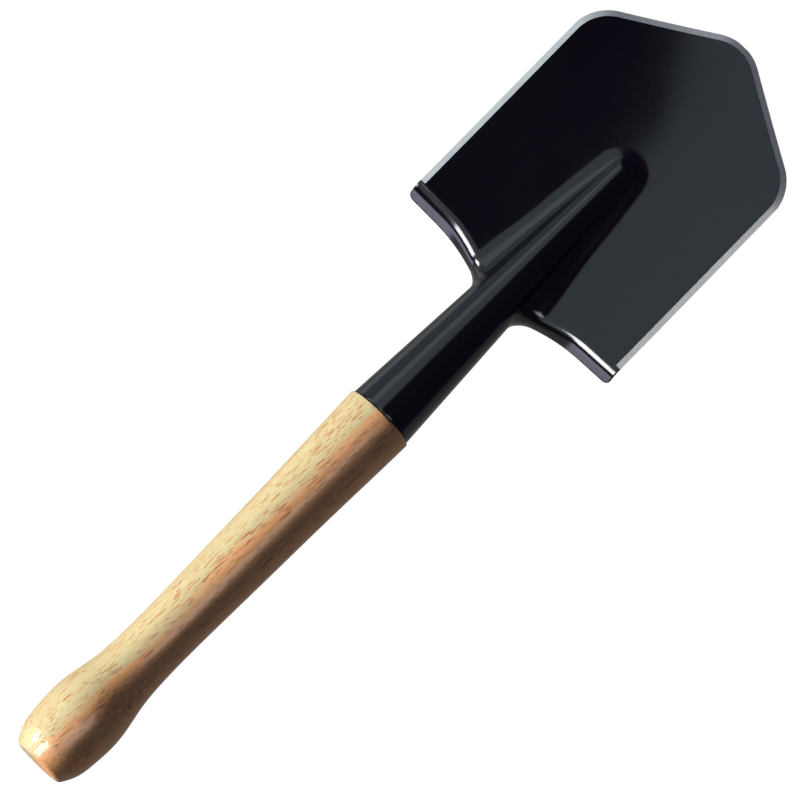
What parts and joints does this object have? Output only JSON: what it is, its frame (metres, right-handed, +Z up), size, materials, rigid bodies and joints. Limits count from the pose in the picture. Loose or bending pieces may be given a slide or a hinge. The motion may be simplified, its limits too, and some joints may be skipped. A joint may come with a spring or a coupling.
{
  "type": "camp shovel",
  "caption": "Short fixed-handle camp shovel: a dished pointed steel blade with foot flanges and a tapered socket, on a turned wooden handle with a knob end.",
  "frame": {"origin": "under the middle of the shovel's length, on the level that its lowest point, the knob, touches", "axes": "+Y along the handle towards the blade's tip, +X to the right, +Z up, out of the hollow digging face"},
  "size_m": [0.1426, 0.52, 0.043],
  "materials": {
    "black_enamel": "satin-gloss black enamel; the cutting edge is ground to bare steel",
    "lacquered_wood": "clear lacquered pale hardwood",
    "steel_screw": "dark oiled steel"
  },
  "bodies": {
    "root": {"head": "black_enamel", "handle": "lacquered_wood", "retaining_screw": "steel_screw"}
  },
  "joints": []
}
